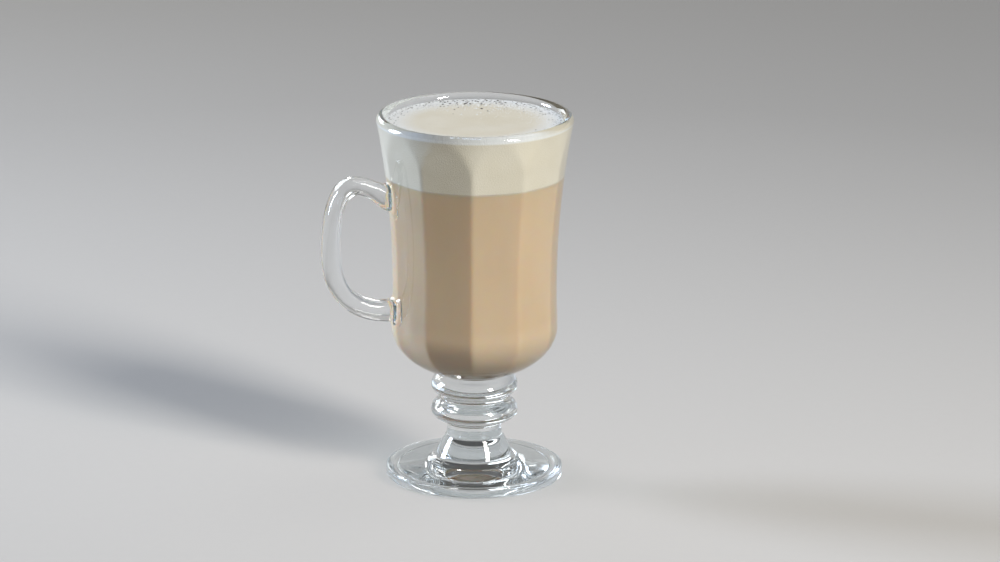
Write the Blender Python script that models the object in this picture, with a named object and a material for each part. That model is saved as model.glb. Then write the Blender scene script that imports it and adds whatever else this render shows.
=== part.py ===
"""Footed glass mug filled with a latte: glass, milky coffee and milk foam.

Metres, +Z up. The origin is on the bowl's axis in the plane of the foot's underside, and the
handle points along -X. Sizes are given in millimetres and turned into metres by MM.
"""
import math

import bmesh
import bpy
from mathutils import Vector

MM = 0.001

# Round body: points round one circle, six to each of the ten inner panels
PANELS = 10
STEPS_PER_PANEL = 6
SEGMENTS = PANELS * STEPS_PER_PANEL

# Foot: a flat disc with a rounded edge and a gently rising top
FOOT_BEARING_R = 30.7
FOOT_R = 34.25
FOOT_LOWER_ROUND_H = 1.5
FOOT_UPPER_ROUND = 2.6
FOOT_UPPER_ROUND_Z = 2.3
FOOT_TOP_INNER_R = 18.4
FOOT_TOP_INNER_Z = 7.0

# Flare from the foot to the neck
FLARE_FOOT_R = 15.7
FLARE_FOOT_Z = 8.6
FLARE_WAIST_R = 14.2
FLARE_WAIST_Z = 10.9
FLARE_SHOULDER_R = 12.9
FLARE_SHOULDER_Z = 13.5
COLLAR_R = 11.2
COLLAR_Z = 16.6
NECK_R = 10.6
NECK_LOW_Z = 17.2
NECK_HIGH_Z = 21.4

# Two rounded rings of the stem
RING_CORE_R = 11.9
RING_BULGE_R = 4.9
RING_UPPER_H = 4.6
RING_LOWER_H = 3.8
RING_EDGE_TURN = 57.0
GROOVE_R = 13.5
CREASE_R = 14.1
CREASE_Z = 41.6
BOWL_FOOT_Z = 42.4
LOWER_RING_Z = 26.9
UPPER_RING_Z = 36.9

# Bowl: a round bottom, then one long arc that is narrowest low down and widens to the rim
BOWL_EQUATOR_Z = 60.9
BOWL_BOTTOM_H = 20.45
BOWL_BOTTOM_POWER = 2.06
BOWL_WAIST_R = 31.86
BOWL_WAIST_Z = 77.2
BOWL_ARC = 0.001454
RIM_TOP_Z = 144.7
RIM_ROUND = 2.2

# Inside of the bowl: ten flat panels that fade out in arches below the rim
CORNER_WALL = 2.9
PANEL_TOP_Z = 141.2
PANEL_FULL_Z = 133.5
CAVITY_EQUATOR_Z = 62.0
CAVITY_BOTTOM_Z = 45.0

# Contents
GAP = 0.3
FOAM_TOP_Z = 142.1
FOAM_BOTTOM_Z = 121.35
DRINK_TOP_Z = 121.05
FOAM_DISH = 0.25

# Handle: a strap on a line of (reach from the axis, height), thick at both roots
HANDLE_LINE = (
    (31.9, 112.3),
    (36.2, 114.5),
    (41.4, 117.8),
    (47.6, 119.7),
    (53.0, 117.2),
    (56.3, 109.2),
    (57.6, 96.0),
    (56.6, 85.3),
    (52.9, 77.4),
    (46.9, 72.3),
    (39.4, 69.6),
    (30.3, 69.1),
)
HANDLE_STATIONS = 40
HANDLE_SECTION_POINTS = 16
HANDLE_WIDTH = 9.0
HANDLE_THICK_HIGH = 6.3
HANDLE_THICK_LOW = 7.4
HANDLE_THIN_Z = 113.0
HANDLE_FULL_Z = 82.0
HANDLE_CORNER_POWER = 3.0
UPPER_ROOT_GAIN = 5.4
LOWER_ROOT_GAIN = 2.6
ROOT_WIDTH_GAIN = 2.6
ROOT_REACH = 4.2
ROOT_DEPTH = 1.6
ROOT_BEAD_R = 2.1
ROOT_BEAD_REACH = 31.8
ROOT_BEAD_Z = 65.0


def clear_scene():
    """Remove every object that the file starts with."""
    for obj in list(bpy.data.objects):
        bpy.data.objects.remove(obj, do_unlink=True)


def smoothstep(value, low, high):
    """Ease from 0 at low to 1 at high."""
    t = min(max((value - low) / (high - low), 0.0), 1.0)
    return t * t * (3.0 - 2.0 * t)


def ellipse_arc(centre, radii, start, end, count):
    """Points of an elliptical arc in the (radius, height) plane, angles in degrees."""
    points = []
    for i in range(count + 1):
        a = math.radians(start + (end - start) * i / count)
        points.append((centre[0] + radii[0] * math.cos(a), centre[1] + radii[1] * math.sin(a)))
    return points


def spline(points, per_span):
    """Points of a Catmull-Rom curve through the given points."""
    line = [points[0]] + list(points) + [points[-1]]
    out = []
    for i in range(1, len(line) - 2):
        p0, p1, p2, p3 = line[i - 1], line[i], line[i + 1], line[i + 2]
        for s in range(per_span):
            t = s / per_span
            out.append(tuple(
                0.5 * (2.0 * b + (c - a) * t + (2.0 * a - 5.0 * b + 4.0 * c - d) * t * t
                       + (3.0 * b - 3.0 * c + d - a) * t * t * t)
                for a, b, c, d in zip(p0, p1, p2, p3)))
    out.append(tuple(points[-1]))
    return out


def wall_radius(z):
    """Outer radius of the bowl's long arc."""
    return BOWL_WAIST_R + BOWL_ARC * (z - BOWL_WAIST_Z) ** 2


def bottom_radius(z):
    """Outer radius of the bowl's round bottom."""
    drop = min(max((BOWL_EQUATOR_Z - z) / BOWL_BOTTOM_H, 0.0), 1.0)
    share = (1.0 - drop ** BOWL_BOTTOM_POWER) ** (1.0 / BOWL_BOTTOM_POWER)
    return wall_radius(BOWL_EQUATOR_Z) * share


def outer_radius(z):
    """Outer radius of the whole bowl at a height."""
    return wall_radius(z) if z >= BOWL_EQUATOR_Z else bottom_radius(z)


def ring_points(centre_z, start, end, count):
    """Points of one stem ring's bulging outline."""
    points = []
    for i in range(count + 1):
        a = math.radians(start + (end - start) * i / count)
        half = RING_LOWER_H if a < 0.0 else RING_UPPER_H
        points.append((RING_CORE_R + RING_BULGE_R * math.cos(a), centre_z + half * math.sin(a)))
    return points


def outer_profile():
    """Outline of the outside, from the middle of the underside to the rim's top."""
    points = [(FOOT_BEARING_R * 0.55, 0.0), (FOOT_BEARING_R, 0.0)]
    lower = (FOOT_R - FOOT_BEARING_R, FOOT_LOWER_ROUND_H)
    points += ellipse_arc((FOOT_BEARING_R, FOOT_LOWER_ROUND_H), lower, -62.0, 0.0, 3)
    upper_centre = (FOOT_R - FOOT_UPPER_ROUND, FOOT_UPPER_ROUND_Z)
    points += ellipse_arc(upper_centre, (FOOT_UPPER_ROUND, FOOT_UPPER_ROUND), 0.0, 78.0, 4)
    points.append((FOOT_TOP_INNER_R + 6.0, FOOT_TOP_INNER_Z - 0.9))
    flare = [(FOOT_TOP_INNER_R, FOOT_TOP_INNER_Z), (FLARE_FOOT_R, FLARE_FOOT_Z),
             (FLARE_WAIST_R, FLARE_WAIST_Z), (FLARE_SHOULDER_R, FLARE_SHOULDER_Z),
             (COLLAR_R, COLLAR_Z)]
    points += spline(flare, 2)
    points += [(NECK_R, NECK_LOW_Z), (NECK_R, NECK_HIGH_Z)]
    points += ring_points(LOWER_RING_Z, -78.0, RING_EDGE_TURN, 7)
    points.append((GROOVE_R, LOWER_RING_Z + 0.5 * (UPPER_RING_Z - LOWER_RING_Z) + 0.2))
    points += ring_points(UPPER_RING_Z, -RING_EDGE_TURN, RING_EDGE_TURN, 6)
    points.append((CREASE_R, CREASE_Z))
    last = math.asin((BOWL_EQUATOR_Z - BOWL_FOOT_Z) / BOWL_BOTTOM_H)
    for i in range(9, 0, -1):
        z = BOWL_EQUATOR_Z - BOWL_BOTTOM_H * math.sin(last * i / 9.0)
        points.append((bottom_radius(z), z))
    top = RIM_TOP_Z - RIM_ROUND
    for i in range(0, 8):
        z = BOWL_EQUATOR_Z + (top - BOWL_EQUATOR_Z) * i / 7.0
        points.append((wall_radius(z), z))
    centre = (wall_radius(top) - RIM_ROUND, top)
    points += ellipse_arc(centre, (RIM_ROUND, RIM_ROUND), 0.0, 180.0, 6)[1:]
    return points


def cavity_radius(z, turn):
    """Inner radius of the glass at a height, for an angle round the axis in radians."""
    if z >= CAVITY_EQUATOR_Z:
        near_rim = smoothstep(z, PANEL_FULL_Z - 6.0, RIM_TOP_Z - RIM_ROUND)
        wall = CORNER_WALL + (2.0 * RIM_ROUND - CORNER_WALL) * near_rim
        corner = outer_radius(z) - wall
    else:
        corner = outer_radius(CAVITY_EQUATOR_Z) - CORNER_WALL
        drop = (CAVITY_EQUATOR_Z - z) / (CAVITY_EQUATOR_Z - CAVITY_BOTTOM_Z)
        corner *= math.sqrt(max(1.0 - drop * drop, 0.0))
    panel = 2.0 * math.pi / PANELS
    off = (turn % panel) - 0.5 * panel
    flat = corner * math.cos(0.5 * panel) / math.cos(off)
    amount = 1.0 - smoothstep(z, PANEL_FULL_Z, PANEL_TOP_Z)
    return corner + (flat - corner) * amount


def cavity_heights(low, high, count):
    """Heights of the cavity's rings, close together in the round bottom."""
    heights = []
    below = 7
    for i in range(1, below + 1):
        a = 0.5 * math.pi * i / below
        heights.append(CAVITY_EQUATOR_Z - (CAVITY_EQUATOR_Z - low) * math.cos(a))
    for i in range(1, count + 1):
        heights.append(CAVITY_EQUATOR_Z + (high - CAVITY_EQUATOR_Z) * i / count)
    return heights


def ring_of(z, radius_at):
    """One ring of points at a height, the radius given for each angle."""
    ring = []
    for k in range(SEGMENTS):
        turn = 2.0 * math.pi * k / SEGMENTS
        r = radius_at(turn)
        ring.append((r * math.cos(turn) * MM, r * math.sin(turn) * MM, z * MM))
    return ring


def closed_mesh(name, rings, first, last):
    """Closed body from rings of equal count, with a middle point at both ends."""
    bm = bmesh.new()
    rows = [[bm.verts.new(Vector(p)) for p in ring] for ring in rings]
    count = len(rows[0])
    for low, high in zip(rows, rows[1:]):
        for k in range(count):
            n = (k + 1) % count
            bm.faces.new((low[k], low[n], high[n], high[k]))
    for middle, row, flip in ((first, rows[0], True), (last, rows[-1], False)):
        centre = bm.verts.new(Vector(middle))
        for k in range(count):
            n = (k + 1) % count
            face = (row[n], row[k], centre) if flip else (row[k], row[n], centre)
            bm.faces.new(face)
    bmesh.ops.recalc_face_normals(bm, faces=bm.faces)
    mesh = bpy.data.meshes.new(name)
    bm.to_mesh(mesh)
    bm.free()
    for face in mesh.polygons:
        face.use_smooth = True
    obj = bpy.data.objects.new(name, mesh)
    bpy.context.scene.collection.objects.link(obj)
    return obj


def build_glass_body():
    """Foot, stem and bowl as one hollow closed body."""
    rings = [ring_of(z, lambda turn, r=r: r) for r, z in outer_profile()]
    top = RIM_TOP_Z - RIM_ROUND
    heights = [z for z in cavity_heights(CAVITY_BOTTOM_Z, PANEL_FULL_Z, 7)]
    heights += [PANEL_FULL_Z + (top - PANEL_FULL_Z) * i / 5.0 for i in range(1, 5)]
    for z in reversed(heights):
        rings.append(ring_of(z, lambda turn, z=z: cavity_radius(z, turn)))
    return closed_mesh("glass", rings, (0.0, 0.0, 0.0), (0.0, 0.0, CAVITY_BOTTOM_Z * MM))


def handle_section(thick, width):
    """Outline of the strap: (across the strap's thickness, across its width)."""
    points = []
    for k in range(HANDLE_SECTION_POINTS):
        a = 2.0 * math.pi * (k + 0.5) / HANDLE_SECTION_POINTS
        c, s = math.cos(a), math.sin(a)
        power = 2.0 / HANDLE_CORNER_POWER
        points.append((0.5 * thick * math.copysign(abs(c) ** power, c),
                       0.5 * width * math.copysign(abs(s) ** power, s)))
    return points


def resample(points, count):
    """The same line with points at equal distances."""
    lengths = [0.0]
    for p, q in zip(points, points[1:]):
        lengths.append(lengths[-1] + math.dist(p, q))
    out = []
    j = 0
    for i in range(count):
        want = lengths[-1] * i / (count - 1)
        while j < len(points) - 2 and lengths[j + 1] < want:
            j += 1
        share = (want - lengths[j]) / (lengths[j + 1] - lengths[j])
        out.append(tuple(a + (b - a) * share for a, b in zip(points[j], points[j + 1])))
    return out


def build_handle():
    """Ear-shaped strap whose ends lie inside the bowl's wall."""
    line = resample(spline(HANDLE_LINE, 8), HANDLE_STATIONS)
    rings = []
    middles = []
    for i, (reach, height) in enumerate(line):
        before = line[max(i - 1, 0)]
        after = line[min(i + 1, len(line) - 1)]
        along = Vector((after[0] - before[0], 0.0, after[1] - before[1])).normalized()
        depth = max(reach - outer_radius(height), 0.0)
        root = math.exp(-(depth / ROOT_REACH) ** 2)
        along.z *= 1.0 - root ** 2
        along.normalize()
        across = Vector((along.z, 0.0, -along.x))
        slim = smoothstep(height, HANDLE_FULL_Z, HANDLE_THIN_Z)
        thick = HANDLE_THICK_LOW + (HANDLE_THICK_HIGH - HANDLE_THICK_LOW) * slim
        gain = LOWER_ROOT_GAIN + (UPPER_ROOT_GAIN - LOWER_ROOT_GAIN) * slim
        section = handle_section(thick + gain * root, HANDLE_WIDTH + ROOT_WIDTH_GAIN * root)
        ring = []
        for t, w in section:
            spot = Vector((reach, 0.0, height)) + across * t
            if i in (0, len(line) - 1):
                spot.x = outer_radius(spot.z) - ROOT_DEPTH
            ring.append((-spot.x * MM, w * MM, spot.z * MM))
        rings.append(ring)
        middles.append((-reach * MM, 0.0, height * MM))
    return closed_mesh("handle_strap", rings, middles[0], middles[-1])


def build_root_bead():
    """Small bead of glass under the lower root."""
    bm = bmesh.new()
    bmesh.ops.create_uvsphere(bm, u_segments=12, v_segments=8, radius=ROOT_BEAD_R * MM)
    bmesh.ops.translate(bm, verts=bm.verts, vec=(-ROOT_BEAD_REACH * MM, 0.0, ROOT_BEAD_Z * MM))
    mesh = bpy.data.meshes.new("root_bead")
    bm.to_mesh(mesh)
    bm.free()
    obj = bpy.data.objects.new("root_bead", mesh)
    bpy.context.scene.collection.objects.link(obj)
    return obj


def join_by_union(target, tool):
    """Join the tool to the target as one solid and remove the tool."""
    cut = target.modifiers.new("join", "BOOLEAN")
    cut.operation = "UNION"
    cut.solver = "EXACT"
    cut.object = tool
    graph = bpy.context.evaluated_depsgraph_get()
    mesh = bpy.data.meshes.new_from_object(target.evaluated_get(graph))
    target.modifiers.clear()
    target.data = mesh
    bpy.data.objects.remove(tool, do_unlink=True)
    for face in mesh.polygons:
        face.use_smooth = True


def contents_ring(z, shrink):
    """Ring of points of a filling that stays clear of the glass."""
    return ring_of(z, lambda turn: cavity_radius(z, turn) - shrink)


def build_drink():
    """Milky coffee from the bottom of the bowl up to the foam."""
    bottom = CAVITY_BOTTOM_Z + GAP
    middle_r = outer_radius(CAVITY_EQUATOR_Z) - CORNER_WALL
    side = (middle_r - GAP) / middle_r
    up = (CAVITY_EQUATOR_Z - bottom) / (CAVITY_EQUATOR_Z - CAVITY_BOTTOM_Z)
    rings = []
    for z in cavity_heights(CAVITY_BOTTOM_Z, DRINK_TOP_Z, 4):
        if z < CAVITY_EQUATOR_Z:
            height = (CAVITY_EQUATOR_Z - (CAVITY_EQUATOR_Z - z) * up) * MM
            ring = contents_ring(z, 0.0)
            rings.append([(x * side, y * side, height) for x, y, _ in ring])
        else:
            rings.append(contents_ring(z, GAP))
    return closed_mesh("latte", rings, (0.0, 0.0, bottom * MM), (0.0, 0.0, DRINK_TOP_Z * MM))


def build_foam():
    """Milk foam on the coffee, a little lower in the middle."""
    rings = []
    heights = [FOAM_BOTTOM_Z, FOAM_BOTTOM_Z + 6.0, PANEL_FULL_Z]
    heights += [PANEL_FULL_Z + 4.0, FOAM_TOP_Z - 0.5]
    for z in heights:
        rings.append(contents_ring(z, GAP))
    edge = FOAM_TOP_Z - 0.5
    for share, rise in ((0.985, 0.42), (0.93, 0.5), (0.6, 0.5 - 0.7 * FOAM_DISH)):
        ring = contents_ring(edge, GAP)
        rings.append([(x * share, y * share, (edge + rise) * MM) for x, y, _ in ring])
    top = (0.0, 0.0, (edge + 0.5 - FOAM_DISH) * MM)
    return closed_mesh("foam", rings, (0.0, 0.0, FOAM_BOTTOM_Z * MM), top)


def material(name, colour, roughness, transmission=0.0, ior=1.45):
    """Plain surface finish."""
    mat = bpy.data.materials.new(name)
    mat.use_nodes = True
    shader = mat.node_tree.nodes["Principled BSDF"]
    shader.inputs["Base Color"].default_value = (*colour, 1.0)
    shader.inputs["Roughness"].default_value = roughness
    shader.inputs["Transmission Weight"].default_value = transmission
    shader.inputs["IOR"].default_value = ior
    return mat


def main():
    """Build the three pieces."""
    clear_scene()
    glass = build_glass_body()
    join_by_union(glass, build_handle())
    join_by_union(glass, build_root_bead())
    drink = build_drink()
    foam = build_foam()
    glass.data.materials.append(material("clear_glass", (0.93, 0.95, 0.95), 0.03, 1.0, 1.5))
    drink.data.materials.append(material("milky_coffee", (0.546, 0.418, 0.266), 0.35))
    foam.data.materials.append(material("milk_foam", (0.70, 0.66, 0.53), 0.55))


main()
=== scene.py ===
"""Dressed model of a latte in a footed glass mug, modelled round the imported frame.

Metres, +Z up. The origin is on the bowl's axis in the plane of the foot's underside and the
handle points along -X, as in the frame. Sizes are held in millimetres and turned by MM.
"""
import logging
import math
import random
from dataclasses import dataclass, field
from enum import Enum

import bpy
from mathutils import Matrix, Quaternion, Vector, noise


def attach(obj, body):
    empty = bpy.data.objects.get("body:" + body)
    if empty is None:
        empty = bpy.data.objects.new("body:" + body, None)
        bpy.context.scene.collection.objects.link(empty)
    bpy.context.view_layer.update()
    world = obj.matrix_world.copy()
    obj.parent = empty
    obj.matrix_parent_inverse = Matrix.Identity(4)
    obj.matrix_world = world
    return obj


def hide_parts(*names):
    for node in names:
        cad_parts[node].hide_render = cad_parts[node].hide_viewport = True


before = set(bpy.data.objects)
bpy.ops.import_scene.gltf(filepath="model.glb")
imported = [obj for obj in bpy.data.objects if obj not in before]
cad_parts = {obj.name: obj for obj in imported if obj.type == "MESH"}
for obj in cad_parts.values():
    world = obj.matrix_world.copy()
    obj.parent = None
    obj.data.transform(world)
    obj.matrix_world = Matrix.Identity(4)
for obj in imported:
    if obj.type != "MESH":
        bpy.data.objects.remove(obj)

MM = 0.001
LOG = logging.getLogger("latte")

# Points nearer to the axis than this, in millimetres, lie on it
ON_AXIS = 0.01
# Points nearer to each other than this, in metres, are merged
DOUBLES = 0.000002
# Points of a new circle beyond this share of its radius are its rim, not its middle
RIM_SHARE = 0.9
# Rings of a filling that are narrower than this, in millimetres, are widened as if this wide
LEAST_RING = 4.0
# Shorter directions than this, in millimetres, point nowhere
NO_LENGTH = 1e-6


# Modelling by hand


def deselect_all() -> None:
    """Leave object mode clean, with nothing selected."""
    if bpy.context.object is not None and bpy.context.object.mode != "OBJECT":
        bpy.ops.object.mode_set(mode="OBJECT")
    bpy.ops.object.select_all(action="DESELECT")


def make_active(piece: bpy.types.Object) -> None:
    """Select one piece alone and make it active.

    Args:
        piece: The object to work on.
    """
    deselect_all()
    piece.select_set(True)
    bpy.context.view_layer.objects.active = piece


def edit(piece: bpy.types.Object) -> None:
    """Open a piece in edit mode with all of it selected.

    Args:
        piece: The mesh object to edit.
    """
    make_active(piece)
    bpy.ops.object.mode_set(mode="EDIT")
    bpy.ops.mesh.select_mode(type="VERT")
    bpy.ops.mesh.select_all(action="SELECT")


def settle(piece: bpy.types.Object) -> None:
    """Merge doubles, turn faces outwards and put the piece's place into its mesh.

    Args:
        piece: The mesh object to finish.
    """
    edit(piece)
    bpy.ops.mesh.remove_doubles(threshold=DOUBLES)
    bpy.ops.mesh.normals_make_consistent(inside=False)
    bpy.ops.object.mode_set(mode="OBJECT")
    bpy.ops.object.transform_apply(location=True, rotation=True, scale=True)


def shade(piece: bpy.types.Object, angle: float) -> None:
    """Shade a piece smooth, but for edges sharper than an angle.

    Args:
        piece: The mesh object.
        angle: Largest smooth angle in degrees.
    """
    make_active(piece)
    bpy.ops.object.shade_smooth_by_angle(angle=math.radians(angle))


def apply_all(piece: bpy.types.Object) -> None:
    """Apply every modifier on a piece, in order.

    Args:
        piece: The mesh object.
    """
    make_active(piece)
    for modifier in list(piece.modifiers):
        bpy.ops.object.modifier_apply(modifier=modifier.name)


def unite(piece: bpy.types.Object, tool: bpy.types.Object) -> None:
    """Join a tool to a piece as one closed body and remove the tool.

    Args:
        piece: The body that grows.
        tool: The closed body that is joined to it.
    """
    joint = piece.modifiers.new("join", "BOOLEAN")
    joint.operation = "UNION"
    joint.solver = "EXACT"
    joint.object = tool
    apply_all(piece)
    bpy.data.objects.remove(tool, do_unlink=True)


def ease(value: float, low: float, high: float) -> float:
    """Ease from 0 at low to 1 at high.

    Args:
        value: Where to read the curve.
        low: Start of the rise.
        high: End of the rise.

    Returns:
        A number between 0 and 1.
    """
    t = min(max((value - low) / (high - low), 0.0), 1.0)
    return t * t * (3.0 - 2.0 * t)


def soft_least(a: float, b: float, blend: float) -> float:
    """The smaller of two lengths, rounded over where they cross.

    Args:
        a: First length.
        b: Second length.
        blend: How far round the crossing the rounding reaches.

    Returns:
        The rounded minimum.
    """
    h = max(blend - abs(a - b), 0.0) / blend
    return min(a, b) - h * h * blend * 0.25


def arc(centre: tuple[float, float], radii: tuple[float, float],
        start: float, end: float, count: int) -> list[tuple[float, float]]:
    """Points of an elliptical arc in the (radius, height) plane.

    Args:
        centre: Middle of the arc in millimetres.
        radii: Half width and half height in millimetres.
        start: First angle in degrees.
        end: Last angle in degrees.
        count: Number of steps.

    Returns:
        The points, one more than the steps.
    """
    turns = [math.radians(start + (end - start) * i / count) for i in range(count + 1)]
    return [(centre[0] + radii[0] * math.cos(a), centre[1] + radii[1] * math.sin(a))
            for a in turns]


def smooth_line(points: list[tuple[float, float]], per_span: int) -> list[tuple[float, float]]:
    """Points of a Catmull-Rom curve through the given points.

    Args:
        points: Points that the curve passes through.
        per_span: Steps between two of them.

    Returns:
        The curve's points, both ends among them.
    """
    line = [points[0]] + list(points) + [points[-1]]
    out = []
    for i in range(1, len(line) - 2):
        quad = list(zip(line[i - 1], line[i], line[i + 1], line[i + 2]))
        for s in range(per_span):
            t = s / per_span
            out.append(tuple(
                0.5 * (2.0 * b + (c - a) * t + (2.0 * a - 5.0 * b + 4.0 * c - d) * t * t
                       + (3.0 * b - 3.0 * c + d - a) * t ** 3) for a, b, c, d in quad))
    out.append(tuple(points[-1]))
    return out


def even_steps(points: list[tuple[float, float]], count: int) -> list[tuple[float, float]]:
    """The same line with its points at equal distances.

    Args:
        points: A fine line.
        count: How many points to keep.

    Returns:
        The evenly spaced points.
    """
    lengths = [0.0]
    for p, q in zip(points, points[1:]):
        lengths.append(lengths[-1] + math.dist(p, q))
    out = []
    j = 0
    for i in range(count):
        want = lengths[-1] * i / (count - 1)
        while j < len(points) - 2 and lengths[j + 1] < want:
            j += 1
        share = (want - lengths[j]) / (lengths[j + 1] - lengths[j])
        out.append(tuple(a + (b - a) * share for a, b in zip(points[j], points[j + 1])))
    return out


def turned_body(name: str, outline: list[tuple[float, float]], around: int) -> bpy.types.Object:
    """Closed turned body, drawn up ring by ring from a circle.

    Args:
        name: The piece's name.
        outline: (radius, height) in millimetres, from one closed end to the other.
        around: Points round each ring.

    Returns:
        The mesh object, with a fan of faces at both ends.
    """
    deselect_all()
    radius, height = outline[0]
    bpy.ops.mesh.primitive_circle_add(vertices=around, radius=radius * MM, fill_type="TRIFAN",
                                      location=(0.0, 0.0, height * MM))
    piece = bpy.context.object
    piece.name = name
    piece.data.name = name
    settle(piece)
    rim = [e.index for e in piece.data.edges
           if all(piece.data.vertices[v].co.xy.length > RIM_SHARE * radius * MM
                  for v in e.vertices)]
    bpy.ops.object.mode_set(mode="EDIT")
    bpy.ops.mesh.select_mode(type="EDGE")
    bpy.ops.mesh.select_all(action="DESELECT")
    bpy.ops.object.mode_set(mode="OBJECT")
    for index in rim:
        piece.data.edges[index].select = True
    bpy.ops.object.mode_set(mode="EDIT")
    for (r0, z0), (r1, z1) in zip(outline, outline[1:]):
        bpy.ops.mesh.extrude_region_move(
            TRANSFORM_OT_translate={"value": (0.0, 0.0, (z1 - z0) * MM)})
        bpy.ops.transform.resize(value=(r1 / r0, r1 / r0, 1.0), center_override=(0.0, 0.0, 0.0))
    bpy.ops.mesh.extrude_region_move(TRANSFORM_OT_translate={"value": (0.0, 0.0, 0.0)})
    bpy.ops.mesh.merge(type="CENTER")
    bpy.ops.object.mode_set(mode="OBJECT")
    settle(piece)
    return piece


# The mug's measures


@dataclass(frozen=True)
class BowlForm:
    """Outside and inside form of the bowl, in millimetres."""

    waist_r: float = 31.86
    waist_z: float = 77.2
    widening: float = 0.001454
    equator_z: float = 60.9
    bottom_h: float = 20.45
    bottom_power: float = 2.06
    rim_z: float = 144.7
    rim_round: float = 2.2
    corner_wall: float = 2.9
    panels: int = 10
    arch_low_z: float = 127.5
    arch_top_z: float = 141.2
    arch_power: float = 1.35
    edge_blend: float = 0.35
    blend_share: float = 0.02
    inner_equator_z: float = 62.0
    inner_bottom_z: float = 45.0

    def side_radius(self, z: float) -> float:
        """Outer radius of the long arc that widens to the rim."""
        return self.waist_r + self.widening * (z - self.waist_z) ** 2

    def outer_radius(self, z: float) -> float:
        """Outer radius of the bowl at any height."""
        if z >= self.equator_z:
            return self.side_radius(z)
        drop = min(max((self.equator_z - z) / self.bottom_h, 0.0), 1.0)
        share = (1.0 - drop ** self.bottom_power) ** (1.0 / self.bottom_power)
        return self.side_radius(self.equator_z) * share

    def corner_radius(self, z: float) -> float:
        """Radius of the inside at the edges between two panels."""
        if z >= self.inner_equator_z:
            near_rim = ease(z, self.arch_low_z, self.rim_z - self.rim_round)
            wall = self.corner_wall + (2.0 * self.rim_round - self.corner_wall) * near_rim
            return self.outer_radius(z) - wall
        drop = (self.inner_equator_z - z) / (self.inner_equator_z - self.inner_bottom_z)
        wide = self.outer_radius(self.inner_equator_z) - self.corner_wall
        return wide * math.sqrt(max(1.0 - drop * drop, 0.0))

    def pressed_radius(self, z: float, turn: float) -> float:
        """Radius of the inside once the ten flat panels are pressed into it.

        Args:
            z: Height in millimetres.
            turn: Angle round the axis in radians.

        Returns:
            The radius: flat panels low down, fading out in arches under the rim.
        """
        corner = self.corner_radius(z)
        panel = 2.0 * math.pi / self.panels
        flat = math.cos(0.5 * panel)
        fade = min(max((z - self.arch_low_z) / (self.arch_top_z - self.arch_low_z), 0.0), 1.0)
        middle = corner * (flat + (1.0 - flat) * fade ** self.arch_power)
        off = (turn % panel) - 0.5 * panel
        here = middle / math.cos(off)
        beside = middle / math.cos(panel - abs(off))
        blend = min(self.edge_blend, self.blend_share * corner)
        if fade >= 1.0:
            return corner
        return soft_least(soft_least(here, beside, blend), corner, blend)


@dataclass(frozen=True)
class StemForm:
    """Rings, neck, flare and foot under the bowl, in millimetres."""

    crease: tuple[float, float] = (13.2, 41.75)
    bowl_foot_z: float = 42.3
    ring_core_r: float = 11.9
    ring_bulge: float = 4.9
    ring_upper_h: float = 4.6
    ring_lower_h: float = 3.8
    ring_turn: float = 57.0
    ring_low_turn: float = 84.0
    groove_r: float = 13.5
    groove_lift: float = 0.2
    lower_ring_z: float = 26.9
    upper_ring_z: float = 36.9
    neck_r: float = 10.6
    neck_low_z: float = 17.2
    neck_high_z: float = 21.4
    neck_round: tuple[float, float] = (0.25, 0.5)
    flare: tuple[tuple[float, float], ...] = (
        (10.75, 16.9), (11.2, 16.5), (12.9, 13.5), (14.2, 10.9), (15.7, 8.6), (18.4, 7.0),
        (24.4, 6.1), (30.2, 5.25))
    foot_r: float = 34.25
    foot_round: float = 0.95
    foot_round_z: float = 3.85
    foot_edge_turn: float = 78.0
    bearing_r: float = 30.7
    lower_round_h: float = 1.5
    hollow_edge_r: float = 29.9
    hollow_edge_w: float = 1.3
    hollow_h: float = 0.55
    hollow_rise: tuple[tuple[float, float], ...] = ((22.0, 0.1), (12.0, 0.2), (4.0, 0.25))

    def ring(self, z: float, start: float, end: float, count: int) -> list[tuple[float, float]]:
        """Outline of one rounded ring, its upper half fuller than its lower.

        Args:
            z: Height of the ring's widest line.
            start: First angle in degrees.
            end: Last angle in degrees.
            count: Number of steps.

        Returns:
            Points from start to end.
        """
        out = []
        for i in range(count + 1):
            a = math.radians(start + (end - start) * i / count)
            half = self.ring_lower_h if a < 0.0 else self.ring_upper_h
            out.append((self.ring_core_r + self.ring_bulge * math.cos(a), z + half * math.sin(a)))
        return out

    def outline(self) -> list[tuple[float, float]]:
        """Outline from under the bowl down to the middle of the underside."""
        points = [self.crease]
        points += self.ring(self.upper_ring_z, self.ring_turn, -self.ring_turn, count=18)
        middle = self.lower_ring_z + 0.5 * (self.upper_ring_z - self.lower_ring_z)
        points.append((self.groove_r, middle + self.groove_lift))
        points += self.ring(self.lower_ring_z, self.ring_turn, -self.ring_low_turn, count=22)
        wider, higher = self.neck_round
        points += [(self.neck_r + wider, self.neck_high_z + higher),
                   (self.neck_r, self.neck_high_z)]
        points += [(self.neck_r, 0.5 * (self.neck_high_z + self.neck_low_z))]
        points += smooth_line(list(self.flare), per_span=6)
        centre = (self.foot_r - self.foot_round, self.foot_round_z)
        points += arc(centre, (self.foot_round, self.foot_round), self.foot_edge_turn, 0.0,
                      count=12)
        lower = (self.foot_r - self.bearing_r, self.lower_round_h)
        points += arc((self.bearing_r, self.lower_round_h), lower, 0.0, -90.0, count=10)[1:]
        points += [(self.hollow_edge_r, 0.0)]
        points += arc((self.hollow_edge_r, self.hollow_h), (self.hollow_edge_w, self.hollow_h),
                      265.0, 185.0, count=6)
        points += [(radius, self.hollow_h + rise) for radius, rise in self.hollow_rise]
        return points


# Finishes


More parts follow.
